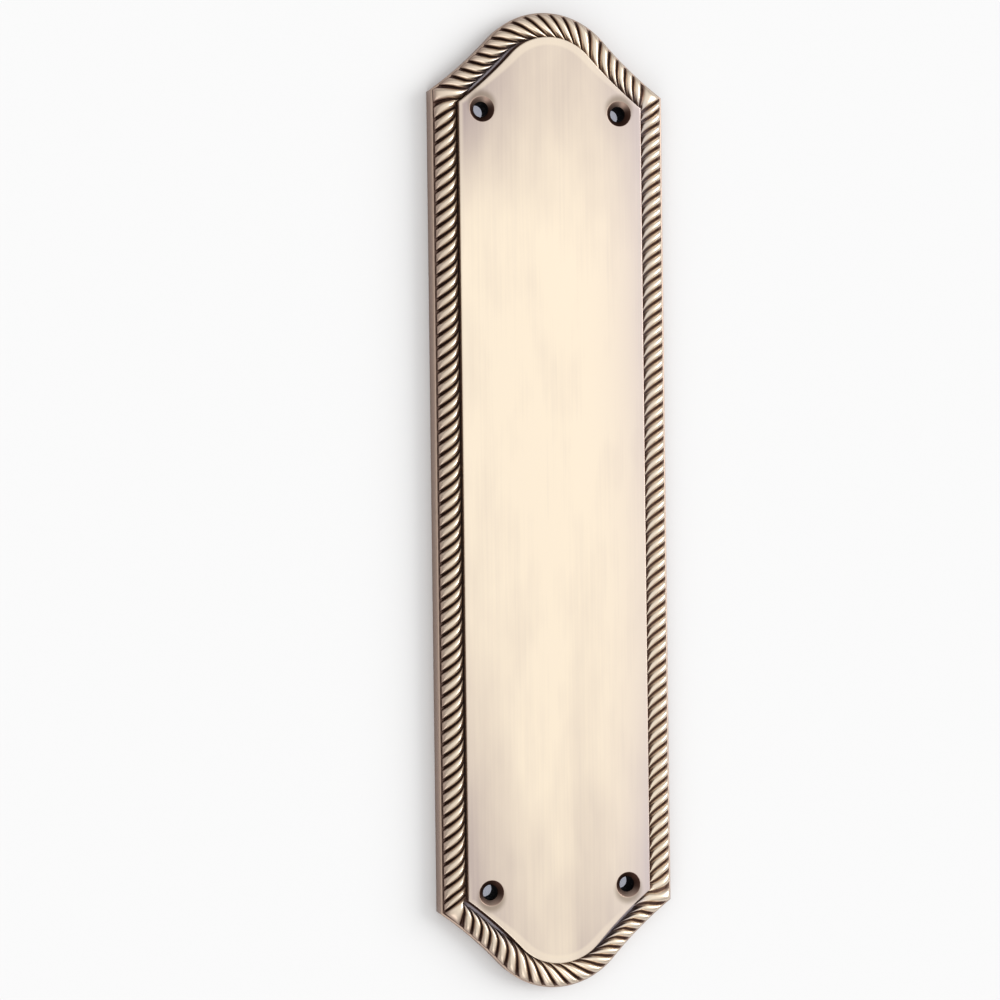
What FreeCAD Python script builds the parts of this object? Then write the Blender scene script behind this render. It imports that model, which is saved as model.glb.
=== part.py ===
import FreeCAD, Part
import math
import os
import Sketcher

# Cast brass finger plate with a rope border, lying on its back: X across, Y along, Z out of the door.
# The origin is the middle of the plate on the plane of the door.

doc = FreeCAD.newDocument("finger_plate")
HALF_TURN = 180
# Decimal places that tell one level from another
PLACES = 4

# Driving dimensions, in millimetres and degrees
DRIVING = [
    ("plate_length", 282.0, "from the top of one arched end to the other"),
    ("plate_width", 70.0, "across the two straight sides"),
    ("crown_radius", 23.2, "round top of each end, at the outer edge"),
    ("crown_half_width", 17.1, "from the axis to where the crown turns into the flare"),
    ("flare_radius", 115.0, "hollow flank between crown and shoulder, at the outer edge"),
    ("edge_height", 4.9, "rim above the door"),
    ("edge_bevel", 0.5, "bevel of the rim's outer edge"),
    ("rope_inset", 4.35, "middle of the rope, in from the outer edge"),
    ("rope_half_width", 2.75, "from the middle of the rope to its feet on the rim"),
    ("rope_crest", 7.1, "top of the rope above the door"),
    ("side_strands", 67, "strands along one straight side"),
    ("end_strands", 21, "strands round one arched end"),
    ("corner_margin", 2.5, "from a shoulder to the first strand beside it, along the rope"),
    ("strand_lead", 5.0, "how far a strand runs on along the border from its outer foot to its inner foot"),
    ("strand_width", 2.05, "across one strand"),
    ("strand_root", 0.5, "strand sunk into the rim"),
    ("brow_drop", 0.85, "bend of a strand's ridge below its crest"),
    ("brow_part", 0.78, "place of that bend, as part of the strand's half length"),
    ("crest_part", 0.34, "level crest of a strand, as part of its half length"),
    ("panel_inset", 7.5, "edge of the raised panel, in from the outer edge"),
    ("panel_height", 8.0, "face of the panel above the door"),
    ("panel_bevel", 0.8, "bevel of the panel's edge"),
    ("rim_width", 8.8, "solid rim round the hollow back"),
    ("panel_skin", 2.6, "metal left behind the panel's face"),
    ("screw_spacing_across", 41.4, "between the two screws of one end"),
    ("screw_spacing_along", 224.0, "between the screws of the two ends"),
    ("boss_diameter", 9.0, "boss round each screw hole, behind the panel"),
    ("screw_bore", 4.4, "clearance hole of a screw"),
    ("sink_diameter", 7.2, "mouth of the countersink"),
    ("sink_angle", 90.0, "full angle of the countersink"),
]
sheet = doc.addObject("Spreadsheet::Sheet", "dims")
for row, (alias, value, meaning) in enumerate(DRIVING, start=1):
    sheet.set("A%d" % row, meaning)
    sheet.set("B%d" % row, str(value))
    sheet.setAlias("B%d" % row, alias)
doc.recompute()


def size(alias):
    """Value of one driving dimension."""
    return float(sheet.get(alias))


def vector(x, y, z=0.0):
    return FreeCAD.Vector(x, y, z)


plate = doc.addObject("PartDesign::Body", "plate")
rope = doc.addObject("PartDesign::Body", "rope")


def origin_item(body, role):
    """Plane or axis of a body's own origin."""
    return next(item for item in body.Origin.OriginFeatures if item.Role == role)


def new_sketch(body, name):
    """Sketch on the plane of the door."""
    sketch = body.newObject("Sketcher::SketchObject", name)
    sketch.AttachmentSupport = (origin_item(body, "XY_Plane"), [""])
    sketch.MapMode = "FlatFace"
    return sketch


def drive(sketch, constraint, name, formula):
    """Adds a constraint whose value is a formula of the sheet."""
    index = sketch.addConstraint(constraint)
    sketch.renameConstraint(index, name)
    sketch.setExpression("Constraints." + name, formula)


# Plan of the plate
# Each end is a crown arc between two hollow flare arcs; all outlines share the arcs' centres.
crown_centre_y = size("plate_length") / 2 - size("crown_radius")
crown_angle = math.asin(size("crown_half_width") / size("crown_radius"))
flare_reach = size("crown_radius") + size("flare_radius")
flare_centre_x = flare_reach * math.sin(crown_angle)
flare_centre_y = crown_centre_y + flare_reach * math.cos(crown_angle)


def shoulder_angle(inset):
    """Angle on the flare, from the plate's axis, where it meets the straight side."""
    across = flare_centre_x - (size("plate_width") / 2 - inset)
    return math.asin(across / (size("flare_radius") + inset))


def shoulder_y(inset):
    """Height of the shoulder on the outline that lies inset from the outer edge."""
    return flare_centre_y - (size("flare_radius") + inset) * math.cos(shoulder_angle(inset))


def draw_end(sketch, inset_name, way):
    """Half of an outline: one arched end (way +1 for the top, -1 for the bottom) and the sides up to Y 0."""
    inset = size(inset_name) if inset_name else 0.0
    inset_text = " - dims." + inset_name if inset_name else ""
    grow_text = " + dims." + inset_name if inset_name else ""
    half_width = size("plate_width") / 2 - inset
    crown = size("crown_radius") - inset
    flare = size("flare_radius") + inset
    low, high = shoulder_angle(inset), crown_angle
    up, down = math.pi / 2, 3 * math.pi / 2
    first, last = (1, 2) if way > 0 else (2, 1)
    origin, x_axis, y_axis, centre = (-1, 1), -1, -2, 3

    def side_line(across):
        foot = vector(across * half_width, 0)
        return sketch.addGeometry(Part.LineSegment(foot, vector(foot.x, way * shoulder_y(inset))))

    def arc(x, y, radius, *angles):
        circle = Part.Circle(vector(x, way * y), vector(0, 0, 1), radius)
        return sketch.addGeometry(Part.ArcOfCircle(circle, *sorted(way * angle for angle in angles)))

    left = side_line(-1)
    left_flare = arc(-flare_centre_x, flare_centre_y, flare, down + low, down + high)
    crown_arc = arc(0, crown_centre_y, crown, up - high, up + high)
    right_flare = arc(flare_centre_x, flare_centre_y, flare, down - high, down - low)
    right = side_line(1)

    fix = Sketcher.Constraint
    sketch.addConstraint(fix("Coincident", left, 2, left_flare, first))
    sketch.addConstraint(fix("Tangent", left_flare, last, crown_arc, last))
    sketch.addConstraint(fix("Tangent", crown_arc, first, right_flare, first))
    sketch.addConstraint(fix("Coincident", right_flare, last, right, 2))
    sketch.addConstraint(fix("PointOnObject", crown_arc, centre, y_axis))
    for side in (left, right):
        sketch.addConstraint(fix("Vertical", side))
        sketch.addConstraint(fix("PointOnObject", side, 1, x_axis))

    name = "top_" if way > 0 else "low_"
    half_text = "dims.plate_width / 2" + inset_text
    crown_text = "dims.crown_radius" + inset_text
    flare_text = "dims.flare_radius" + grow_text
    centre_text = "dims.plate_length / 2 - dims.crown_radius"
    joint_text = "dims.crown_half_width * (%s) / dims.crown_radius" % crown_text
    joint_x = crown * math.sin(high)
    centre_ends = (*origin, crown_arc, centre) if way > 0 else (crown_arc, centre, *origin)
    drive(sketch, fix("DistanceX", left, 1, *origin, half_width), name + "left", half_text)
    drive(sketch, fix("DistanceX", *origin, right, 1, half_width), name + "right", half_text)
    drive(sketch, fix("DistanceY", *centre_ends, crown_centre_y), name + "centre", centre_text)
    drive(sketch, fix("Radius", crown_arc, crown), name + "crown", crown_text)
    drive(sketch, fix("DistanceX", crown_arc, last, *origin, joint_x), name + "joint_left", joint_text)
    drive(sketch, fix("DistanceX", *origin, crown_arc, first, joint_x), name + "joint_right", joint_text)
    drive(sketch, fix("Radius", left_flare, flare), name + "flare_left", flare_text)
    drive(sketch, fix("Radius", right_flare, flare), name + "flare_right", flare_text)


def draw_outline(sketch, inset_name=None):
    """Closed outline, parallel to the plate's outer edge."""
    draw_end(sketch, inset_name, 1)
    draw_end(sketch, inset_name, -1)


# Rim and panel: two slabs on the door's plane, with bevelled edges
def pad(name, inset_name, height_text):
    """Slab inside the outline that lies inset from the outer edge."""
    plan = new_sketch(plate, name + "_plan")
    draw_outline(plan, inset_name)
    slab = plate.newObject("PartDesign::Pad", name)
    slab.Profile = plan
    slab.setExpression("Length", height_text)
    doc.recompute()
    return slab


def bevel_upper_edges(slab, height_name, bevel_name):
    """Bevels every edge that lies in the slab's upper face."""
    upper = [round(size(height_name), PLACES)] * 2
    edges = []
    for index, edge in enumerate(slab.Shape.Edges, start=1):
        levels = [round(edge.BoundBox.ZMin, PLACES), round(edge.BoundBox.ZMax, PLACES)]
        if levels == upper:
            edges.append("Edge%d" % index)
    bevel = plate.newObject("PartDesign::Chamfer", bevel_name)
    bevel.Base = (slab, edges)
    bevel.setExpression("Size", "dims." + bevel_name)
    doc.recompute()


bevel_upper_edges(pad("rim", None, "dims.edge_height"), "edge_height", "edge_bevel")
bevel_upper_edges(pad("panel", "panel_inset", "dims.panel_height"), "panel_height", "panel_bevel")

# Hollow back, open towards the door
hollow_plan = new_sketch(plate, "hollow_plan")
draw_outline(hollow_plan, "rim_width")
hollow = plate.newObject("PartDesign::Pocket", "hollow")
hollow.Profile = hollow_plan
hollow.Reversed = True
hollow.setExpression("Length", "dims.panel_height - dims.panel_skin")
doc.recompute()


# Screw bosses and countersunk holes
def screw_circles(name, diameter_name):
    """Circles at the four screws."""
    sketch = new_sketch(plate, name)
    fix = Sketcher.Constraint
    half_x, half_y = size("screw_spacing_across") / 2, size("screw_spacing_along") / 2
    for x_way in (-1, 1):
        for y_way in (-1, 1):
            centre = vector(x_way * half_x, y_way * half_y)
            circle = sketch.addGeometry(Part.Circle(centre, vector(0, 0, 1), size(diameter_name) / 2))
            x_ends = (-1, 1, circle, 3) if x_way > 0 else (circle, 3, -1, 1)
            y_ends = (-1, 1, circle, 3) if y_way > 0 else (circle, 3, -1, 1)
            place = "screw%d_" % circle
            drive(sketch, fix("DistanceX", *x_ends, half_x), place + "x", "dims.screw_spacing_across / 2")
            drive(sketch, fix("DistanceY", *y_ends, half_y), place + "y", "dims.screw_spacing_along / 2")
            diameter = fix("Diameter", circle, size(diameter_name))
            drive(sketch, diameter, place + "size", "dims." + diameter_name)
    return sketch


bosses = plate.newObject("PartDesign::Pad", "bosses")
bosses.Profile = screw_circles("boss_plan", "boss_diameter")
bosses.setExpression("Length", "dims.panel_height - dims.panel_skin")
doc.recompute()

hole_plan = screw_circles("hole_plan", "screw_bore")
hole_plan.setExpression("AttachmentOffset.Base.z", "dims.panel_height")
doc.recompute()
holes = plate.newObject("PartDesign::Hole", "screw_holes")
holes.Profile = hole_plan
doc.recompute()
holes.HoleCutType = "Countersink"
holes.HoleCutCustomValues = True
holes.DepthType = "ThroughAll"
holes.DrillPoint = "Flat"
holes.setExpression("Diameter", "dims.screw_bore")
holes.setExpression("HoleCutDiameter", "dims.sink_diameter")
holes.setExpression("HoleCutCountersinkAngle", "dims.sink_angle")
doc.recompute()

# Rope: slanting strands side by side round the border, each one arched from its outer foot to its inner foot
rope_x = size("plate_width") / 2 - size("rope_inset")
rope_shoulder = shoulder_y(size("rope_inset"))
strand_reach = math.hypot(size("rope_half_width"), size("strand_lead") / 2)
flare_path = size("flare_radius") + size("rope_inset")
crown_path = size("crown_radius") - size("rope_inset")
flare_sweep = crown_angle - shoulder_angle(size("rope_inset"))


def side_point(along, inward):
    """Point beside the left side's rope, which runs upwards."""
    return vector(-rope_x + inward, along - rope_shoulder)


def left_flare_point(along, inward):
    angle = 3 * math.pi / 2 + crown_angle - flare_sweep + along / flare_path
    reach = flare_path + inward
    x = -flare_centre_x + reach * math.cos(angle)
    return vector(x, flare_centre_y + reach * math.sin(angle))


def crown_point(along, inward):
    angle = math.pi / 2 + crown_angle - along / crown_path
    reach = crown_path - inward
    return vector(reach * math.cos(angle), crown_centre_y + reach * math.sin(angle))


def right_flare_point(along, inward):
    angle = 3 * math.pi / 2 - crown_angle + along / flare_path
    reach = flare_path + inward
    x = flare_centre_x + reach * math.cos(angle)
    return vector(x, flare_centre_y + reach * math.sin(angle))


def strand_feet(point, along):
    """Outer and inner foot of the strand whose crest is at the given place of a run."""
    outer = point(along - size("strand_lead") / 2, -size("rope_half_width"))
    inner = point(along + size("strand_lead") / 2, size("rope_half_width"))
    return outer, inner


def add_strand(name, feet, turn):
    """One strand, turned about the plate's middle, with its arched back in five flats from foot to foot."""
    outer, inner = feet
    upright = vector(0, 0, 1)
    onward = (inner - outer).normalize()
    stance = FreeCAD.Rotation(onward, upright, onward.cross(upright), "XYZ")
    turned = FreeCAD.Placement(vector(0, 0), FreeCAD.Rotation(upright, turn))

    ridge = new_sketch(rope, name + "_ridge")
    ridge.AttachmentOffset = turned.multiply(FreeCAD.Placement((outer + inner) / 2, stance))
    ridge.setExpression("AttachmentOffset.Base.z", "dims.edge_height - dims.strand_root")
    brow_reach = strand_reach * size("brow_part")
    crest_reach = strand_reach * size("crest_part")
    crest_level = size("rope_crest") - size("edge_height") + size("strand_root")
    brow_level = crest_level - size("brow_drop")
    foot_lean = (strand_reach - brow_reach) / (brow_level - size("strand_root"))
    foot_reach = strand_reach + foot_lean * size("strand_root")
    right = [vector(foot_reach, 0), vector(brow_reach, brow_level), vector(crest_reach, crest_level)]
    left = [vector(-place.x, place.y) for place in reversed(right)]
    corners = right + left
    fix = Sketcher.Constraint
    for index, corner in enumerate(corners):
        ridge.addGeometry(Part.LineSegment(corner, corners[(index + 1) % len(corners)]))
    right_foot, right_brow, crest, left_brow, left_foot, floor = range(len(corners))
    for line in range(len(corners)):
        ridge.addConstraint(fix("Coincident", line, 2, (line + 1) % len(corners), 1))
    ridge.addConstraint(fix("PointOnObject", floor, 1, -1))
    ridge.addConstraint(fix("Symmetric", floor, 1, floor, 2, -2))
    ridge.addConstraint(fix("Symmetric", left_foot, 1, right_brow, 1, -2))
    ridge.addConstraint(fix("Symmetric", crest, 1, crest, 2, -2))

    reach_text = "sqrt(dims.rope_half_width ^ 2 + dims.strand_lead ^ 2 / 4)"
    rise_text = "(dims.rope_crest - dims.edge_height)"
    lean_text = "(1 - dims.brow_part) / (%s - dims.brow_drop)" % rise_text
    foot_text = "2 * %s * (1 + dims.strand_root * %s)" % (reach_text, lean_text)
    crest_level_text = "%s + dims.strand_root" % rise_text
    brow_level_text = crest_level_text + " - dims.brow_drop"
    brow_text = "2 * %s * dims.brow_part" % reach_text
    crest_text = "2 * %s * dims.crest_part" % reach_text
    drive(ridge, fix("DistanceX", floor, 1, floor, 2, 2 * foot_reach), "feet", foot_text)
    drive(ridge, fix("DistanceX", left_foot, 1, right_brow, 1, 2 * brow_reach), "brows", brow_text)
    drive(ridge, fix("DistanceX", crest, 2, crest, 1, 2 * crest_reach), "crest_length", crest_text)
    drive(ridge, fix("DistanceY", right_foot, 1, right_brow, 1, brow_level), "brow_level", brow_level_text)
    drive(ridge, fix("DistanceY", right_foot, 1, crest, 1, crest_level), "crest_level", crest_level_text)

    strand = rope.newObject("PartDesign::Pad", name)
    strand.Profile = ridge
    strand.SideType = "Symmetric"
    strand.setExpression("Length", "dims.strand_width")
    strand.Refine = False
    doc.recompute()
    return strand


def repeat_strand(kind, strand, guide, count, spacing, backwards):
    """The strand repeated along its run, by spacing in millimetres or degrees."""
    pattern = rope.newObject("PartDesign::" + kind, strand.Name + "_run")
    pattern.Originals = [strand]
    if kind == "LinearPattern":
        pattern.Direction = guide
    else:
        pattern.Axis = guide
    pattern.Mode = "Spacing"
    pattern.Offset = spacing
    pattern.Occurrences = count
    pattern.Reversed = backwards
    pattern.Refine = False
    rope.Tip = pattern
    doc.recompute()


def pivot(name, x_text, y_text):
    """Upright axis through an arc's centre."""
    sketch = new_sketch(rope, name)
    sketch.setExpression("AttachmentOffset.Base.x", x_text)
    sketch.setExpression("AttachmentOffset.Base.y", y_text)
    return (sketch, ["N_Axis"])


side_length = 2 * rope_shoulder
side_pitch = (side_length - 2 * size("corner_margin")) / (size("side_strands") - 1)
flare_length = flare_path * flare_sweep
crown_length = crown_path * 2 * crown_angle
end_length = 2 * flare_length + crown_length
end_pitch = (end_length - 2 * size("corner_margin")) / (size("end_strands") - 1)
end_places = [size("corner_margin") + index * end_pitch for index in range(int(size("end_strands")))]

centre_text = "dims.plate_length / 2 - dims.crown_radius"
span_text = "(dims.crown_radius + dims.flare_radius)"
sine_text = "dims.crown_half_width / dims.crown_radius"
flare_x_text = "%s * %s" % (span_text, sine_text)
flare_y_text = "%s + %s * sqrt(1 - (%s) ^ 2)" % (centre_text, span_text, sine_text)


def halfway(first, second):
    """Feet of a strand between two others."""
    return [(one + other) / 2 for one, other in zip(first, second)]


side_start = strand_feet(side_point, size("corner_margin"))
side_end = strand_feet(side_point, side_length - size("corner_margin"))
end_start = strand_feet(left_flare_point, size("corner_margin"))
end_end = strand_feet(right_flare_point, flare_length - size("corner_margin"))
other_side_start = [foot * -1 for foot in side_start]

for end, turn, sign in (("top", 0, "1"), ("low", HALF_TURN, "-1")):
    count = int(size("side_strands"))
    strand = add_strand(end + "_side_strand", side_start, turn)
    along_plate = (origin_item(rope, "Y_Axis"), [""])
    repeat_strand("LinearPattern", strand, along_plate, count, side_pitch, turn == HALF_TURN)
    add_strand(end + "_left_corner_strand", halfway(side_end, end_start), turn)
    add_strand(end + "_right_corner_strand", halfway(end_end, other_side_start), turn)
    start = 0.0
    for run, point, length, radius, x_text, y_text, backwards in (
        ("left_flare", left_flare_point, flare_length, flare_path, "-" + flare_x_text, flare_y_text, False),
        ("crown", crown_point, crown_length, crown_path, "0", centre_text, True),
        ("right_flare", right_flare_point, flare_length, flare_path, flare_x_text, flare_y_text, False),
    ):
        name = "%s_%s_strand" % (end, run)
        places = [place - start for place in end_places if start <= place < start + length]
        axis = pivot(name + "_axis", "%s * (%s)" % (sign, x_text), "%s * (%s)" % (sign, y_text))
        strand = add_strand(name, strand_feet(point, places[0]), turn)
        repeat_strand("PolarPattern", strand, axis, len(places), math.degrees(end_pitch / radius), backwards)
        start += length

# One casting
casting = doc.addObject("Part::Fuse", "casting")
casting.Base = plate
casting.Tool = rope
casting.Refine = False
casting.Label = "finger_plate"
doc.recompute()

failed = [item.Name for item in doc.Objects if "Invalid" in item.State or "Error" in item.State]
if failed:
    raise RuntimeError("failed objects: " + ", ".join(failed))
shape = casting.Shape
if shape.isNull() or not shape.isValid() or len(shape.Solids) != 1:
    raise RuntimeError("the plate is not one sound solid")
os.makedirs("parts", exist_ok=True)
shape.exportStep(os.path.join("parts", casting.Label + ".step"))
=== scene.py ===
import math
from types import SimpleNamespace

import bpy
import numpy as np
from mathutils import Matrix, Vector


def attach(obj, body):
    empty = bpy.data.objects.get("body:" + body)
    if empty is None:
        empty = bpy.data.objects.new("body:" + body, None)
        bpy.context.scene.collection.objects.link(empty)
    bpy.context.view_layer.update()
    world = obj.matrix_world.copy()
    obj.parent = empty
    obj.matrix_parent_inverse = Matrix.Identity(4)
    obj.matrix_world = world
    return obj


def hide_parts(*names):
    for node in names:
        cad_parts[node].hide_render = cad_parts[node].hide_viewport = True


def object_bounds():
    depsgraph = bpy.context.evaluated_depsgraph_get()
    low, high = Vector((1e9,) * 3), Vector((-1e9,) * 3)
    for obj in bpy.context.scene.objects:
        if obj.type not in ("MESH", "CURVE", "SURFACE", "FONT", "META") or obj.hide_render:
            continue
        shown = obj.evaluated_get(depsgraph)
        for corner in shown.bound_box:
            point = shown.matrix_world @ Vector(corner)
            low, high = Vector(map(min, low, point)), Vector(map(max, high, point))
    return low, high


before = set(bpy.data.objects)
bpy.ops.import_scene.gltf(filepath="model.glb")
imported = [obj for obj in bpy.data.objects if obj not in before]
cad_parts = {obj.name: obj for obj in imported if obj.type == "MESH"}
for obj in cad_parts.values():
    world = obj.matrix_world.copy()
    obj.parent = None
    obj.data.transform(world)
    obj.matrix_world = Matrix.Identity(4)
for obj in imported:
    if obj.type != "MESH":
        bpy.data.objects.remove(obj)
cadLow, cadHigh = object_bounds()
mm = 0.001
near = 0.01  # millimetres that still count as the same place
print("frame loaded")

# plan of the plate in millimetres, as in the CAD source; the ends reach the CAD box
plan = {
    "halfLength": cadHigh.y / mm,
    "halfWidth": 35.0,
    "crownRadius": 23.2,
    "crownHalfWidth": 17.1,
    "flareRadius": 115.0,
    "ropeInset": 4.15,  # the rope's middle line, in from the outer edge
    "fanReach": 6.0,  # how far from a shoulder the lines across the border fan out
    "sideSteps": 80,
    "flareSteps": 24,
    "crownSteps": 40,
}

crownY = plan["halfLength"] - plan["crownRadius"]
crownAngle = math.asin(plan["crownHalfWidth"] / plan["crownRadius"])
flareX = (plan["crownRadius"] + plan["flareRadius"]) * math.sin(crownAngle)
flareY = crownY + (plan["crownRadius"] + plan["flareRadius"]) * math.cos(crownAngle)


def shoulderAngle(inset):
    # angle on the flare where the outline lying that far in meets the straight side
    return np.arcsin((flareX - plan["halfWidth"] + inset) / (plan["flareRadius"] + inset))


def shoulderY(inset):
    # height of that meeting: the flare's centre less its radius times the angle's cosine
    return flareY - (plan["flareRadius"] + inset) * np.cos(shoulderAngle(inset))


# lengths along the rope's middle line
ropeShoulder = float(shoulderY(plan["ropeInset"]))
ropeAngle = float(shoulderAngle(plan["ropeInset"]))
flarePath = plan["flareRadius"] + plan["ropeInset"]
crownPath = plan["crownRadius"] - plan["ropeInset"]
sideLength = 2 * ropeShoulder
flareLength = flarePath * (crownAngle - ropeAngle)
crownLength = crownPath * 2 * crownAngle
halfLoop = sideLength + 2 * flareLength + crownLength
crownMiddle = 0.5 * (sideLength + halfLoop)


def eased(share):
    # a share held between 0 and 1 and smoothed: three of its squares less two of its cubes
    share = np.clip(share, 0, 1)
    return share * share * (3 - 2 * share)


def ramp(value, low, high):
    # 0 up to the low limit, 1 from the high limit, straight between them
    return np.clip((value - low) / (high - low), 0, 1)


def readOff(place, pairs):
    # value at a place on the straight lines through pairs of a place and a value
    return np.interp(place, *np.array(pairs, float).T)


def fan(distance):
    # 1 at a shoulder, falling smoothly to 0 at the fan's reach
    return eased(1 - distance / plan["fanReach"])


def borderPoint(place, inset):
    # point at a place along the rope's middle line (up the left side, over the top, down the right side, back
    # under the bottom) and an inset from the outer edge; lines across it fan out at the four shoulders
    place, inset = np.broadcast_arrays(np.asarray(place, float), np.asarray(inset, float))
    half = np.floor(place / halfLoop)
    local = place - half * halfLoop
    turn = np.where(half % 2 == 0, 1.0, -1.0)
    stretch = shoulderY(inset) - ropeShoulder
    swing = shoulderAngle(inset) - ropeAngle
    flare = plan["flareRadius"] + inset
    crown = plan["crownRadius"] - inset

    sideX = -(plan["halfWidth"] - inset)
    sideY = local - ropeShoulder + stretch * (fan(sideLength - local) - fan(local))

    risen = local - sideLength
    upAngle = 1.5 * math.pi + ropeAngle + risen / flarePath + swing * fan(risen)
    upX = -flareX + flare * np.cos(upAngle)
    upY = flareY + flare * np.sin(upAngle)

    rounded = risen - flareLength
    topAngle = 0.5 * math.pi + crownAngle - rounded / crownPath
    topX = crown * np.cos(topAngle)
    topY = crownY + crown * np.sin(topAngle)

    fallen = rounded - crownLength
    downAngle = 1.5 * math.pi - crownAngle + fallen / flarePath - swing * fan(flareLength - fallen)
    downX = flareX + flare * np.cos(downAngle)
    downY = flareY + flare * np.sin(downAngle)

    runs = [local <= sideLength, risen <= flareLength, rounded <= crownLength]
    x = np.select(runs, [sideX, upX, topX], downX)
    y = np.select(runs, [sideY, upY, topY], downY)
    return turn * x, turn * y


def halfPlaces():
    # places along half the loop, with one at each shoulder and at each change of curve
    upStart = sideLength
    topStart = upStart + flareLength
    downStart = topStart + crownLength
    side = np.linspace(0, sideLength, plan["sideSteps"], endpoint=False)
    up = upStart + np.linspace(0, flareLength, plan["flareSteps"], endpoint=False)
    top = topStart + np.linspace(0, crownLength, plan["crownSteps"], endpoint=False)
    down = downStart + np.linspace(0, flareLength, plan["flareSteps"], endpoint=False)
    return np.concatenate([side, up, top, down])


def gridFaces(rows, columns, closeRows, closeColumns):
    # quads of a grid whose vertices run column after column within each row, facing out of the casting
    row = np.arange(rows if closeRows else rows - 1)[:, None]
    column = np.arange(columns if closeColumns else columns - 1)[None, :]
    nextRow = (row + 1) % rows
    nextColumn = (column + 1) % columns
    corners = [
        row * columns + column,
        nextRow * columns + column,
        nextRow * columns + nextColumn,
        row * columns + nextColumn,
    ]
    return np.stack(np.broadcast_arrays(*corners), -1).reshape(-1, 4)


def addMesh(name, points, faces, fields):
    # one mesh from arrays of points in millimetres, quads, and named values per point; points that agree to a
    # millionth of a millimetre are merged into one
    _, kept, merged = np.unique(np.round(points, 6) + 0.0, axis=0, return_index=True, return_inverse=True)
    points = points[kept]
    faces = merged.ravel()[faces]
    mesh = bpy.data.meshes.new(name)
    mesh.vertices.add(len(points))
    mesh.vertices.foreach_set("co", (points * mm).astype(np.float32).ravel())
    mesh.loops.add(faces.size)
    mesh.loops.foreach_set("vertex_index", faces.astype(np.int32).ravel())
    mesh.polygons.add(len(faces))
    mesh.polygons.foreach_set("loop_start", np.arange(0, faces.size, 4, dtype=np.int32))
    mesh.polygons.foreach_set("use_smooth", np.ones(len(faces), dtype=bool))
    for field, values in fields.items():
        attribute = mesh.attributes.new(field, "FLOAT", "POINT")
        attribute.data.foreach_set("value", values.astype(np.float32).ravel()[kept])
    mesh.update(calc_edges=True)
    mesh.validate()
    piece = bpy.data.objects.new(name, mesh)
    bpy.context.scene.collection.objects.link(piece)
    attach(piece, "root")
    return piece


# rim, ledge and panel edge: one section carried round the outline
edge = {
    "height": 4.9,
    "round": 0.5,
    "panelInset": 7.5,
    "panelHeight": 8.0,
    "panelRound": 0.35,
    "sideMargin": 0.35,  # flat margin band round the panel, down the sides and along the crown; at the ends it carries a painted highlight
    "crownMargin": 1.6,
    "crownHold": 0.4,  # share of the crown, each way, that keeps the full margin
    "marginFade": 0.7,
    "rimWidth": 8.8,
    "ceiling": 5.4,
    "crisp": 0.06,
    "arcSteps": 7,
    "baredLimit": 6.95,
    "baredPlaces": [  # place round the loop, and how bare the channel lies there
        (231, 0), (236, 1), (250, 1), (262, 0), (286, 0), (294, 0.5), (303, 0.5), (308, 0),
        (539, 0), (544, 1.6), (556, 1.4), (570, 0), (588, 0), (598, 1.1), (612, 1.2), (616, 0),
    ],
    "baredPatina": 0.25,
    "baredGunmetal": 0.85,
    "wallFade": 1.2,
    "wallPatinaAndShade": (0.68, 0.5),  # patina, with painted shade darker lower down: that far below the top of the wall, and at its top
    "riserPatina": 0.75,
    "channelPatina": 0.93,
    "backPatina": 0.3,
    "lipSharpness": 9,
}


def quarterRound(startInset, startZ, reach):
    # quarter round that leaves upright and arrives level
    angle = np.linspace(0, 0.5 * math.pi, edge["arcSteps"])
    return np.stack([startInset + reach * (1 - np.cos(angle)), startZ + reach * np.sin(angle)], 1)


def edgeSection():
    # inset and height along the section: from the hollow's ceiling down, under the back, up the outside, over
    # the ledge and up to the panel's face
    crisp = edge["crisp"]
    width, high, ceiling = edge["rimWidth"], edge["height"], edge["ceiling"]
    inner, bared = edge["panelInset"], edge["baredLimit"]
    back = [
        [width, ceiling], [width, ceiling - crisp], [width, crisp], [width - crisp, 0.0],
        [width - 2 * crisp, 0.0], [2 * crisp, 0.0], [crisp, 0.0], [0.0, crisp], [0.0, 2 * crisp],
    ]
    outside = quarterRound(0.0, high - edge["round"], edge["round"])
    ledge = [
        [edge["round"] + crisp, high], [bared - crisp, high], [bared + crisp, high],
        [inner - 2 * crisp, high], [inner - crisp, high], [inner, high + crisp], [inner, high + 2 * crisp],
    ]
    lip = quarterRound(inner, edge["panelHeight"] - edge["panelRound"], edge["panelRound"])
    face = [[inner + edge["panelRound"] + crisp, edge["panelHeight"]]]
    return np.concatenate([back, outside, ledge, lip, face])


def marginInset(place):
    # inner limit of the flat margin band round the panel, which carries a painted highlight at the ends:
    # widest along the crown, fading out down the flares
    fromCrown = np.abs(np.mod(place, halfLoop) - crownMiddle) - edge["crownHold"] * crownLength
    widened = (edge["crownMargin"] - edge["sideMargin"]) * eased(1 - fromCrown / flareLength)
    return edge["panelInset"] + edge["panelRound"] + edge["sideMargin"] + widened


def flareBared(place):
    # share by which the channel beside the panel lies bared, along the four flares
    return readOff(np.mod(place, 2 * halfLoop), edge["baredPlaces"])


loopPlaces = np.concatenate([halfPlaces(), halfPlaces() + halfLoop])


def rimSurface():
    # the section's insets and heights, and its points round the loop; two more rows run in over the panel's
    # face, to the margin's limit and on past its fade
    section = edgeSection()
    top, fade = edge["panelHeight"], edge["marginFade"]
    limit = marginInset(loopPlaces)
    level = np.append(section[:, 1], [top, top])
    inset = np.append(section[:, 0], [limit.min(), limit.min() + fade])
    insets = np.broadcast_to(section[:, :1], (len(section), len(loopPlaces)))
    insets = np.concatenate([insets, [limit, limit + fade]])
    x, y = borderPoint(loopPlaces[None, :], insets)
    z = np.broadcast_to(level[:, None], x.shape)
    return inset, level, np.stack([x, y, z], -1)


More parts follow.
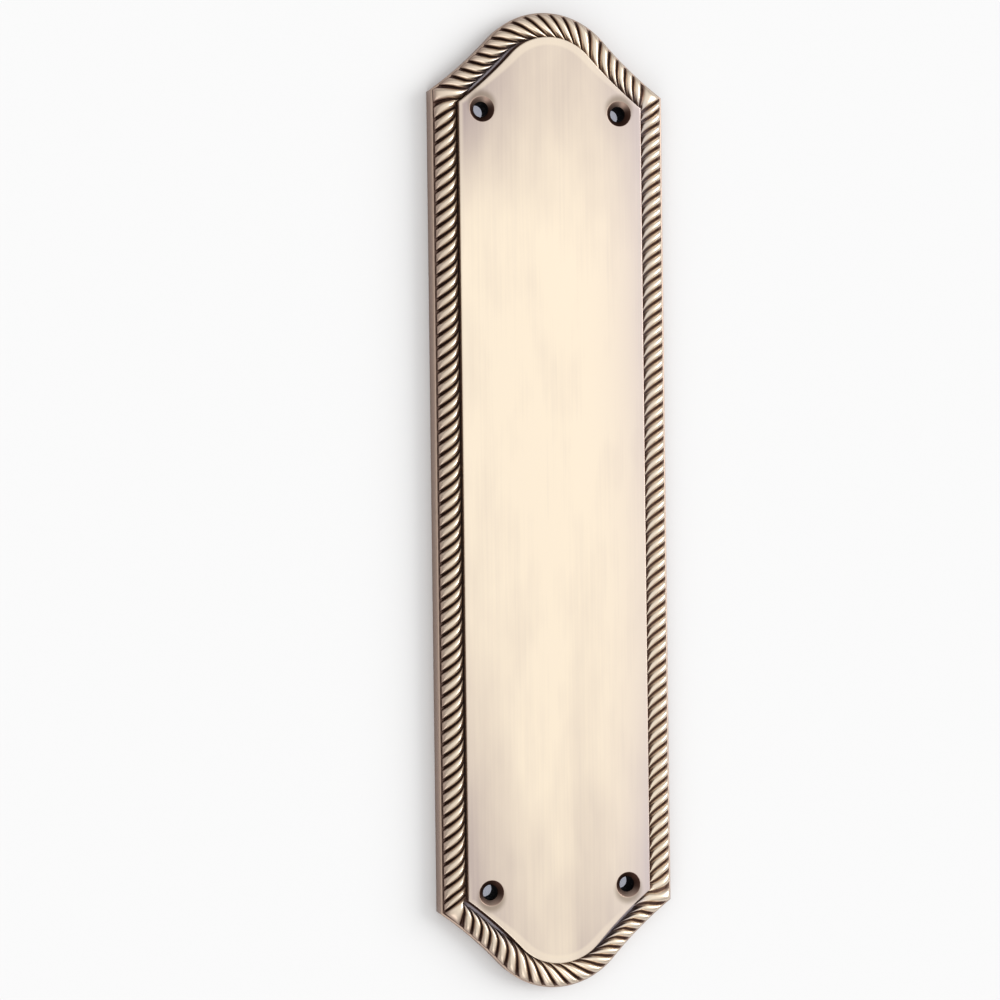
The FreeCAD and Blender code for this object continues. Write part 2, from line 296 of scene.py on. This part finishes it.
def rimFields(inset, level):
    # each part of the section has its own patina, and the wall is painted darker lower down as shade; the
    # bared channel is darker and gunmetal, and the panel's rounded lip is laid dark down the right side as
    # painted shade
    upToPanel = (inset > edge["round"]) & (inset < edge["panelInset"] + near)
    inChannel = upToPanel & (level > edge["height"] - near)
    onWall = (inset <= edge["round"]) & (level > 0)
    onRiser = inChannel & (inset > edge["panelInset"] - near) & (level > edge["height"])
    onBared = inChannel & ~onRiser & (inset > plan["ropeInset"]) & (inset < edge["baredLimit"])
    onMargin = (inset > edge["panelInset"] + near) & (level > edge["ceiling"] + edge["crisp"])
    # the wall's patina, with painted shade that darkens it lower down
    wallPatinaAndShade = np.interp(level, [edge["height"] - edge["wallFade"], edge["height"]], edge["wallPatinaAndShade"])
    patinaAndShade = np.select(
        [onRiser, inChannel, onWall, onMargin],
        [edge["riserPatina"], edge["channelPatina"], wallPatinaAndShade, 0.0],
        edge["backPatina"],
    )
    baredShare = np.minimum(flareBared(loopPlaces), 1)
    patinaAndShade = np.minimum(patinaAndShade[:, None] + edge["baredPatina"] * np.outer(inChannel, baredShare), 1)
    # painted shade: the panel's rounded lip is laid dark down the right side
    lipDrop = np.clip(edge["lipSharpness"] * (edge["panelHeight"] - level) / edge["panelRound"], 0, 1)
    onRight = (loopPlaces > halfLoop) & (loopPlaces < halfLoop + sideLength)
    everywhere = np.ones(len(loopPlaces))
    # the margin band, less its last row, carries the painted highlight
    marginHighlight = onMargin.copy()
    marginHighlight[-1] = False
    return {
        "patinaAndShade": np.maximum(patinaAndShade, np.outer(lipDrop * (onRiser | onMargin), onRight)),
        "brushed": np.outer(onMargin, everywhere),
        "gunmetalAndShade": edge["baredGunmetal"] * np.outer(onBared, baredShare),
        "margin": np.outer(marginHighlight, everywhere),
    }


rimInset, rimLevel, rimPoints = rimSurface()
rim = addMesh(
    "plate_rim",
    rimPoints.reshape(-1, 3),
    gridFaces(*rimPoints.shape[:2], False, True),
    rimFields(rimInset, rimLevel),
)
print("rim built")

# panel with its four countersunk holes, and the hollow behind it
hole = {
    "across": 20.7,
    "along": 112.0,
    "bore": 2.2,
    "mouth": 3.6,
    "boss": 4.5,
    "mouthRound": 0.18,
    "mouthSteps": [(2.5, 0), (1, 0), (0.3, 0.1), (-0.5, 0.6), (-1, 1)],  # rounds out from the mouth, and down
    "boreRound": 0.1,
    "faceShares": (0.4, 0.75, 0.95),  # rows over the face, from its outline in to the hole
    "axisSteps": 26,
    "midSteps": 10,
    "glint": 0.5,  # painted highlight: the countersink's patina is lightened on the side towards the nearer end
    "backPatina": 0.3,
}


def quadrantPlaces():
    # places from the middle of the left side up to the top of the crown
    places = halfPlaces()
    return np.append(places[(places >= 0.5 * sideLength) & (places < crownMiddle - near)], crownMiddle)


def quadrantOutline(inset):
    # closed outline of a quarter of the panel: side, flare and half a crown, then down the axis and out again
    x, y = borderPoint(quadrantPlaces(), inset)
    down = np.linspace(y[-1], 0, hole["axisSteps"])[1:]
    out = np.linspace(0, x[0], hole["midSteps"])[1:-1]
    return np.concatenate([x, np.zeros(len(down)), out]), np.concatenate([y, down, np.zeros(len(out))])


def quarterRows():
    # rows of the upper left quarter in four runs: over the face to the countersink, down its cone, through
    # the bore, and over the boss and the ceiling to the rim; each is a ring round the hole, an outline of
    # the quarter, or a share of the way between the two
    frontX, frontY = quadrantOutline(marginInset(quadrantPlaces()) + edge["marginFade"])
    backX, backY = quadrantOutline(edge["rimWidth"])
    frontWay = np.arctan2(frontY - hole["along"], frontX + hole["across"])
    backWay = np.arctan2(backY - hole["along"], backX + hole["across"])
    top, ceiling, crisp = edge["panelHeight"], edge["ceiling"], edge["crisp"]
    mouth, bore, boss = hole["mouth"], hole["bore"], hole["boss"]
    soft, fine = hole["mouthRound"], hole["boreRound"]
    coneFoot = top - (mouth - bore)

    def ring(radius, level, way):
        x = radius * np.cos(way) - hole["across"]
        y = radius * np.sin(way) + hole["along"]
        return np.stack([x, y, np.full(len(way), level)], -1)

    front = np.stack([frontX, frontY, np.full(len(frontX), top)], -1)
    back = np.stack([backX, backY, np.full(len(backX), ceiling)], -1)
    mouthRows = [ring(mouth + out * soft, top - fall * soft, frontWay) for out, fall in hole["mouthSteps"]]
    inward = [front + (mouthRows[0] - front) * share for share in hole["faceShares"]]
    faceRows = [front] + inward + mouthRows[:2]
    coneRows = mouthRows[2:] + [ring(bore + fine, coneFoot + fine, frontWay)]
    boreRows = [ring(bore, level, frontWay) for level in (coneFoot - 0.5 * fine, coneFoot - 2 * fine, crisp)]
    backRows = [ring(bore + step * crisp, 0, frontWay) for step in (1, 2)]
    backRows += [ring(boss - step * crisp, 0, backWay) for step in (2, 1)]
    backRows += [ring(boss, level, backWay) for level in (crisp, 2 * crisp, ceiling - 2 * crisp)]
    backRows += [ring(boss + step * crisp, ceiling, backWay) for step in (1, 2)]
    bossFoot = backRows[-1]
    backRows += [bossFoot + (back - bossFoot) * share for share in (0.5, 1.0)]
    return faceRows, coneRows, boreRows, backRows


def panelSurface():
    # the quarter is repeated about both axes, and a copy turned over once has its faces turned back; the face
    # is bare, the cone is dark with patina, the bore is dark with patina and laid near black as painted
    # shade, and a painted highlight on the cone grows with the square of the way towards the end
    runs = quarterRows()
    quarter = np.stack([row for run in runs for row in run])
    rows, columns = quarter.shape[:2]
    onFace, inCone, inBore, onBack = np.repeat(np.eye(len(runs)), [len(run) for run in runs], axis=1)
    mouthEdge = runs[1][2]
    endward = np.clip((mouthEdge[:, 1] - hole["along"]) / hole["mouth"], 0, 1)
    patinaAndShade = (inCone + inBore + hole["backPatina"] * onBack)[:, None]
    # painted highlight: the cone is lighter towards the nearer end
    patinaAndShade = patinaAndShade - hole["glint"] * np.outer(inCone, endward ** 2)
    sides = [(across, along) for across in (1, -1) for along in (1, -1)]
    faces = gridFaces(rows, columns, False, True)
    points = [quarter.reshape(-1, 3) * np.array([across, along, 1]) for across, along in sides]
    quads = [faces if across * along > 0 else faces[:, ::-1] for across, along in sides]
    quads = [side + index * rows * columns for index, side in enumerate(quads)]
    everywhere = np.ones(columns)
    # the bore's mask: there the brass is laid near black as painted shade
    fields = {"patinaAndShade": patinaAndShade, "boreShade": np.outer(inBore, everywhere), "brushed": np.outer(onFace, everywhere)}
    fields = {name: np.tile(values, (len(sides), 1)) for name, values in fields.items()}
    return np.concatenate(points), np.concatenate(quads), fields


panel = addMesh("plate_panel", *panelSurface())
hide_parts("finger_plate")
print("panel built")

# rope border: rounded strands, each one slanting from its outer foot and hooking on into the channel
rope = {
    "halfWidth": 3.3,
    "rise": 2.2,
    "sunk": 0.4,
    "strandsPerHalf": 89,
    "groovePlaces": [  # number of a groove, and its place within half the loop
        (0, 3.75), (66, 229.9), (67, 235.1), (76, 266.2), (80, 279.4), (83, 291.4), (87, 304.7), (88, 308.8),
    ],
    "stepsPerStrand": 16,
    "rowsAcross": 34,
    "lead": 4.5,
    "leadPlaces": [  # place within half the loop, and how much the slant is stretched there
        (0, 0.2), (4, 0.75), (8, 1), (229, 1), (235, 1.15),
        (250, 1.1), (262, 1.3), (290, 1.35), (304.5, 1.1), (308.77, 0.2),
    ],
    "hook": 1.2,
    "hookPower": 7,
    "beadPower": 0.72,
    "roundPower": 2.3,
    "roundEnd": 0.64,
    "noseTaper": 0.25,
    "nosePower": 4,
    "grooveShare": 0.78,
    "pinch": 0.3,  # width that the inner half loses where the channel lies bared
    "outerPlaces": [  # place round the loop, and width that the outer half gains there
        (0, 0), (225, 0), (235, 0.5), (304, 0.5), (309, 0.35), (534, 0.35), (544, 0.5), (612, 0.5), (617, 0),
    ],
    "baredTint": (0.62, 0.92),  # shares of the width between which gunmetal comes in, at the bared channel
    "rightTint": (0.42, 0.82),  # the same for the painted shade down the right side
    "rightAcross": (18, 28),
    "rightAlong": (-90, 210),
    "gunmetalAndShade": 0.8,
    "leftShadeAcross": 60,  # painted shade grows to the left and a little towards the top
    "leftShadeAlong": 900,
    "groovePatinaAndShade": (1.35, 0.55),  # patina, and what the painted shade adds
    "grooveClear": 0.12,
    "footPatina": 2.2,
    "footClear": 0.4,
    "crestPatina": 0.04,
    "nosePatinaAndShade": (0.25, 0.5),  # patina, and what the painted shade adds
    "noseFall": 3,
}


def ropeSurface():
    # grid of arc position across the half-round bead by phase along the rope; a strand's own round lifts its
    # middle, and its place runs on by the lead of the slant across the bead
    perHalf = rope["strandsPerHalf"]
    turn = np.linspace(0, math.pi, rope["rowsAcross"])[:, None]
    phase = (np.arange(2 * perHalf * rope["stepsPerStrand"]) / rope["stepsPerStrand"])[None, :]
    half = np.floor(phase / perHalf)
    grooves = rope["groovePlaces"] + [(perHalf, halfLoop + rope["groovePlaces"][0][1])]
    middle = readOff(phase - half * perHalf, grooves)
    loopMiddle = half * halfLoop + middle
    across = 0.5 * (1 - np.cos(turn))
    lead = rope["lead"] * (across - 0.5) + rope["hook"] * across ** rope["hookPower"]
    place = loopMiddle + readOff(np.mod(middle, halfLoop), rope["leadPlaces"]) * lead
    nose = 1 + rope["noseTaper"] * (1 - across) ** rope["nosePower"]
    within = 2 * np.abs((phase % 1.0) - 0.5) * nose
    body = np.maximum(1 - within ** rope["roundPower"], 0) ** rope["roundEnd"]
    bared = flareBared(loopMiddle)
    gained = readOff(np.mod(loopMiddle, 2 * halfLoop), rope["outerPlaces"])
    innerReach = rope["halfWidth"] * (1 - rope["pinch"] * bared)
    reach = np.where(across > 0.5, innerReach, rope["halfWidth"] + gained)
    inset = plan["ropeInset"] + (2 * across - 1) * reach
    bead = np.sin(turn) ** rope["beadPower"]
    lift = bead * (1 - rope["grooveShare"] * (1 - body))
    x, y = borderPoint(np.mod(place, 2 * halfLoop), inset)
    z = edge["height"] - rope["sunk"] + (rope["rise"] + rope["sunk"]) * lift
    fields = {"patinaAndShade": ropePatinaAndShade(x, y, 1 - body, 1 - bead), "gunmetalAndShade": ropeTint(x, y, across, body, bared)}
    return np.stack([x, y, z], -1), fields


def ropePatinaAndShade(x, y, groove, foot):
    # the darkest of three: grooves, feet and the strands' outer noses, dark with patina; all are darker where
    # the painted shade is deeper, to the left and a little towards the top
    outer = (1 - np.linspace(0, 1, rope["rowsAcross"])[:, None]) ** rope["noseFall"]
    # painted shade: darker to the left and a little towards the top
    leftShade = np.clip(0.5 - x / rope["leftShadeAcross"] + y / rope["leftShadeAlong"], 0, 1)
    groovePlain, grooveAdded = rope["groovePatinaAndShade"]
    nosePlain, noseAdded = rope["nosePatinaAndShade"]
    inGroove = (groovePlain + (grooveAdded + outer) * leftShade) * (groove - rope["grooveClear"])
    atFoot = (rope["footPatina"] + leftShade) * (foot - rope["footClear"])
    atNose = rope["crestPatina"] + (nosePlain + noseAdded * leftShade) * outer
    return np.clip(np.maximum(np.maximum(inGroove, atFoot), atNose), 0, 1)


def ropeTint(x, y, across, body, bared):
    # gunmetal on the strands' inner half at the bared channel, and the same colour as painted shade on the
    # inner ends down the right side
    atBared = np.minimum(bared, 1) * body * ramp(across, *rope["baredTint"])
    # painted shade: the inner ends down the right side are greyed
    rightSide = ramp(x, *rope["rightAcross"]) * ramp(y, *rope["rightAlong"])
    return rope["gunmetalAndShade"] * np.maximum(atBared, rightSide * ramp(across, *rope["rightTint"]))


ropePoints, ropeFields = ropeSurface()
ropePiece = addMesh(
    "plate_rope",
    ropePoints.reshape(-1, 3),
    gridFaces(*ropePoints.shape[:2], True, True),
    ropeFields,
)
print("rope built")


def linear(red, green, blue):
    # display values 0 to 255 to linear colour
    share = np.array([red, green, blue]) / 255
    return (*np.where(share <= 0.04045, share / 12.92, ((share + 0.055) / 1.055) ** 2.4), 1.0)


# aged brass; places on the panel are shares of halfAcross and halfAlong, and two or four numbers together
# are a smooth step: its two places, then the tone at each
finish = {
    "bright": linear(239, 224, 202),
    "dull": linear(174, 158, 154),
    "cool": linear(172, 160, 176),
    "brown": linear(162, 138, 125),
    "dark": linear(66, 46, 39),
    "gunmetalAndShade": linear(172, 164, 170),
    "holeEndTint": linear(122, 106, 86),
    "boreShade": linear(20, 17, 17),
    "brownAt": 0.6,  # patina and painted shade that is fully brown; more of it goes on to dark
    "brightRough": 0.3,
    "darkRough": 0.5,
    "halfAcross": 27.5,
    "halfAlong": 141.0,
    "topEnd": (0.45, 0.95, 0.0, 0.45),
    "footEnd": (0.45, 1.05, 0.0, 0.36),
    "low": (-0.1, 0.85),
    "high": (0.55, 0.85),
    "leftPower": 1.6,
    "leftTone": 0.05,
    "leftLowTone": 0.62,
    "leftCorner": 0.7,
    "rightPower": 3.0,
    "rightUpper": (-0.2, 0.4, 0.25, 0.45),
    "rightLowPower": 3.0,
    "rightLowTone": 0.35,
    "rightCorner": 0.25,
    "bandRise": (0.1, 0.22),
    "bandFall": (0.75, 0.34),
    "bandTone": 0.2,
    "streakScale": (1500, 22, 400),
    "streakDetail": 3.0,
    "streakTone": 0.2,
    "patchScale": (130, 42, 100),
    "patchDetail": 2.0,
    "patchTone": 0.4,
    "marginHighlightFoot": (0.7, 0.88),
    "marginHighlightBright": 0.45,  # painted highlight: tone that the margin band loses at the two ends
    "holeEndTintBeyond": 1.3,
    "holeEndTintReach": (5.0, 3.0),  # millimetres from its middle: none, and all of it
    "holeEndTintShare": 0.6,
}


def nodeKit(tree):
    # makers of nodes in one tree, each fed by sockets or plain values: arithmetic, a colour mix, a smooth
    # step, a vector's parts, and noise about 0 on stretched coordinates
    def feed(socket, value):
        if isinstance(value, bpy.types.NodeSocket):
            tree.links.new(value, socket)
        elif value is not None:
            socket.default_value = value

    def calc(operation, first, second=None, clamp=False):
        node = tree.nodes.new("ShaderNodeMath")
        node.operation = operation
        node.use_clamp = clamp
        feed(node.inputs[0], first)
        feed(node.inputs[1], second)
        return node.outputs[0]

    def mix(share, first, second):
        node = tree.nodes.new("ShaderNodeMix")
        node.data_type = "RGBA"
        colours = [socket for socket in node.inputs if socket.type == "RGBA"]
        for socket, value in zip([node.inputs["Factor"], *colours], (share, first, second)):
            feed(socket, value)
        return next(socket for socket in node.outputs if socket.type == "RGBA")

    def step(value, low, high, toLow=0.0, toHigh=1.0):
        node = tree.nodes.new("ShaderNodeMapRange")
        node.interpolation_type = "SMOOTHSTEP"
        names = ("Value", "From Min", "From Max", "To Min", "To Max")
        for name, number in zip(names, (value, low, high, toLow, toHigh)):
            feed(node.inputs[name], number)
        return node.outputs["Result"]

    def split(vector):
        node = tree.nodes.new("ShaderNodeSeparateXYZ")
        feed(node.inputs["Vector"], vector)
        return node.outputs

    def noise(vector, scale, detail):
        stretched = tree.nodes.new("ShaderNodeMapping")
        feed(stretched.inputs["Vector"], vector)
        feed(stretched.inputs["Scale"], scale)
        node = tree.nodes.new("ShaderNodeTexNoise")
        feed(node.inputs["Vector"], stretched.outputs["Vector"])
        feed(node.inputs["Scale"], 1.0)
        feed(node.inputs["Detail"], detail)
        return calc("SUBTRACT", node.outputs["Fac"], 0.5)

    return SimpleNamespace(feed=feed, calc=calc, mix=mix, step=step, split=split, noise=noise)


def awayFromHoles(kit, parts, beyond):
    # distance from the nearest of four points that lie that far past the holes, towards the ends
    aside = kit.calc("SUBTRACT", kit.calc("ABSOLUTE", parts["X"]), hole["across"] * mm)
    onward = kit.calc("SUBTRACT", kit.calc("ABSOLUTE", parts["Y"]), (hole["along"] + beyond) * mm)
    squares = kit.calc("ADD", kit.calc("MULTIPLY", aside, aside), kit.calc("MULTIPLY", onward, onward))
    return kit.calc("SQRT", squares)


def agedBrass():
    # the panel's tones, olive-brown patches past the holes and a painted highlight on the margin band give
    # the clean metal, which patina and painted shade turn brown and then dark, with gunmetal, partly painted
    # shade on the right-hand strands, and the bores' near-black painted shade laid over it
    material = bpy.data.materials.new("antique_brass")
    material.use_nodes = True
    tree = material.node_tree
    kit = nodeKit(tree)
    calc, mix, step = kit.calc, kit.mix, kit.step
    shader = tree.nodes["Principled BSDF"]
    shader.inputs["Metallic"].default_value = 1.0

    def field(name):
        node = tree.nodes.new("ShaderNodeAttribute")
        node.attribute_name = name
        return node.outputs["Fac"]

    patinaAndShade, brushed, boreShade = field("patinaAndShade"), field("brushed"), field("boreShade")
    coordinates = tree.nodes.new("ShaderNodeTexCoord").outputs["Object"]
    parts = kit.split(coordinates)
    across = calc("DIVIDE", parts["X"], finish["halfAcross"] * mm)
    along = calc("DIVIDE", parts["Y"], finish["halfAlong"] * mm)
    leftward = calc("MULTIPLY", across, -1.0)
    footward = calc("MULTIPLY", along, -1.0)

    # toning of the panel: greyer towards the two ends and down the left side, cooler along the right edge
    low = step(footward, *finish["low"])
    high = step(along, *finish["high"])
    left = calc("POWER", calc("MAXIMUM", leftward, 0.0), finish["leftPower"])
    right = calc("POWER", calc("MAXIMUM", across, 0.0), finish["rightPower"])
    ends = calc("ADD", step(along, *finish["topEnd"]), step(footward, *finish["footEnd"]))
    leftLow = calc("MULTIPLY", low, finish["leftLowTone"])
    leftTone = calc("MULTIPLY", left, calc("ADD", leftLow, finish["leftTone"]))
    rightLow = calc("MULTIPLY", calc("POWER", low, finish["rightLowPower"]), finish["rightLowTone"])
    rightTone = calc("MULTIPLY", right, calc("ADD", rightLow, step(along, *finish["rightUpper"])))
    leftCorner = calc("MULTIPLY", left, finish["leftCorner"])
    rightCorner = calc("MULTIPLY", right, finish["rightCorner"])
    cornerTone = calc("MULTIPLY", high, calc("ADD", leftCorner, rightCorner))
    band = calc("MULTIPLY", step(across, *finish["bandRise"]), step(across, *finish["bandFall"]))
    bandTone = calc("MULTIPLY", band, calc("MULTIPLY", low, finish["bandTone"]))
    tone = calc("ADD", calc("ADD", ends, leftTone), calc("ADD", bandTone, cornerTone))

    # brushing: fine streaks along the plate over softer patches; a painted highlight brightens the margin
    # band at the ends
    streaks = kit.noise(coordinates, finish["streakScale"], finish["streakDetail"])
    patches = kit.noise(coordinates, finish["patchScale"], finish["patchDetail"])
    streakTone = calc("MULTIPLY", streaks, finish["streakTone"])
    patchTone = calc("MULTIPLY", patches, finish["patchTone"])
    tone = calc("ADD", tone, calc("ADD", streakTone, patchTone), clamp=True)
    # painted highlight on the margin band at the two ends
    marginHighlight = calc("MULTIPLY", field("margin"), calc("MAXIMUM", high, step(footward, *finish["marginHighlightFoot"])))
    tone = calc("MULTIPLY", tone, calc("SUBTRACT", 1.0, calc("MULTIPLY", marginHighlight, finish["marginHighlightBright"])))

    # olive-brown patches just past the holes, towards the nearer end
    away = awayFromHoles(kit, parts, finish["holeEndTintBeyond"])
    none, full = (limit * mm for limit in finish["holeEndTintReach"])
    holeEndTint = step(away, none, full, 0.0, finish["holeEndTintShare"])

    colour = mix(calc("MULTIPLY", tone, brushed), finish["bright"], finish["dull"])
    colour = mix(calc("MULTIPLY", rightTone, brushed, clamp=True), colour, finish["cool"])
    colour = mix(calc("MULTIPLY", holeEndTint, brushed), colour, finish["holeEndTint"])
    browned = calc("DIVIDE", patinaAndShade, finish["brownAt"], clamp=True)
    pastBrown = calc("SUBTRACT", patinaAndShade, finish["brownAt"])
    darkened = calc("DIVIDE", pastBrown, 1 - finish["brownAt"], clamp=True)
    colour = mix(browned, colour, finish["brown"])
    colour = mix(darkened, colour, finish["dark"])
    # gunmetal, and painted shade on the right-hand strands' inner ends
    colour = mix(field("gunmetalAndShade"), colour, finish["gunmetalAndShade"])
    # painted shade: the bores laid near black
    colour = mix(boreShade, colour, finish["boreShade"])
    kit.feed(shader.inputs["Base Color"], colour)
    dulled = calc("MULTIPLY", patinaAndShade, finish["darkRough"] - finish["brightRough"])
    rough = calc("ADD", calc("ADD", dulled, finish["brightRough"]), boreShade, clamp=True)
    kit.feed(shader.inputs["Roughness"], rough)
    return material


brass = agedBrass()
for piece in (rim, panel, ropePiece):
    piece.data.materials.append(brass)
print("brass laid on")

# floor, light and camera
stage = {
    "floorHalf": 3.0,
    "floorColour": linear(227, 227, 227),
    "floorRough": 0.9,
    "glowColour": (0.26, 0.27, 0.32, 1),
    "zenith": 1.06,
    "zenithAt": 0.8,
    "horizon": 0.3,
    "lampSpread": 40,
    "lamps": {"key": (1.6, (0.78, 0.15, 0.5)), "fill": (0.5, (-0.3, -0.8, 0.4))},
}


def paleFloor():
    # plain pale material; under the bosses it glows a little, as painted light, so the screw holes show white
    material = bpy.data.materials.new("floor")
    material.use_nodes = True
    tree = material.node_tree
    kit = nodeKit(tree)
    shader = tree.nodes["Principled BSDF"]
    shader.inputs["Base Color"].default_value = stage["floorColour"]
    shader.inputs["Roughness"].default_value = stage["floorRough"]
    shader.inputs["Specular IOR Level"].default_value = 0.0
    shader.inputs["Emission Color"].default_value = stage["glowColour"]
    parts = kit.split(tree.nodes.new("ShaderNodeTexCoord").outputs["Object"])
    # painted light: the floor glows within a boss's radius of each hole
    below = kit.calc("LESS_THAN", awayFromHoles(kit, parts, 0.0), hole["boss"] * mm)
    kit.feed(shader.inputs["Emission Strength"], below)
    return material


reach = stage["floorHalf"]
floorCorners = [(-reach, -reach, 0), (reach, -reach, 0), (reach, reach, 0), (-reach, reach, 0)]
floorMesh = bpy.data.meshes.new("floor")
floorMesh.from_pydata(floorCorners, [], [(0, 1, 2, 3)])
floorMesh.materials.append(paleFloor())
floor = bpy.data.objects.new("floor", floorMesh)
bpy.context.scene.collection.objects.link(floor)

# white sky, brightest overhead
world = bpy.data.worlds.new("studio")
world.use_nodes = True
bpy.context.scene.world = world
skyKit = nodeKit(world.node_tree)
background = world.node_tree.nodes["Background"]
background.inputs["Color"].default_value = (1, 1, 1, 1)
skyParts = skyKit.split(world.node_tree.nodes.new("ShaderNodeTexCoord").outputs["Generated"])
skyStrength = skyKit.step(skyParts["Z"], 0.0, stage["zenithAt"], stage["horizon"], stage["zenith"])
skyKit.feed(background.inputs["Strength"], skyStrength)

for lampName, (strength, source) in stage["lamps"].items():
    lampData = bpy.data.lights.new(lampName, "SUN")
    lampData.energy = strength
    lampData.angle = math.radians(stage["lampSpread"])
    lamp = bpy.data.objects.new(lampName, lampData)
    lamp.rotation_euler = Vector(source).to_track_quat("Z", "Y").to_euler()
    bpy.context.scene.collection.objects.link(lamp)

bpy.context.scene.view_settings.view_transform = "Standard"

# angles in degrees, places in millimetres, focal length in pixels of a picture that many across
shot = {
    "yaw": 16.512,
    "pitch": -0.131,
    "roll": -0.709,
    "distance": 670.67,
    "targetX": -14.412,
    "targetY": 0.265,
    "focal": 2316.15,
    "pictureWidth": 1000,
    "sensorWidth": 36.0,
    "clip": (0.01, 20),
}

yaw, pitch, roll = (math.radians(shot[name]) for name in ("yaw", "pitch", "roll"))
towards = Vector((-math.sin(yaw) * math.cos(pitch), -math.sin(pitch), math.cos(yaw) * math.cos(pitch)))
sideways = (-towards).cross(Vector((0, 1, 0))).normalized()
upwards = sideways.cross(-towards)
right = math.cos(roll) * sideways + math.sin(roll) * upwards
up = -math.sin(roll) * sideways + math.cos(roll) * upwards
cameraData = bpy.data.cameras.new("camera")
cameraData.sensor_width = shot["sensorWidth"]
cameraData.lens = shot["focal"] / shot["pictureWidth"] * shot["sensorWidth"]
cameraData.clip_start, cameraData.clip_end = shot["clip"]
camera = bpy.data.objects.new("camera", cameraData)
bpy.context.scene.collection.objects.link(camera)
cameraPlace = Vector((shot["targetX"], shot["targetY"], 0)) + towards * shot["distance"]
cameraTurn = Matrix((right, up, towards)).transposed().to_4x4()
camera.matrix_world = Matrix.Translation(cameraPlace * mm) @ cameraTurn
bpy.context.scene.camera = camera
print("stage set")
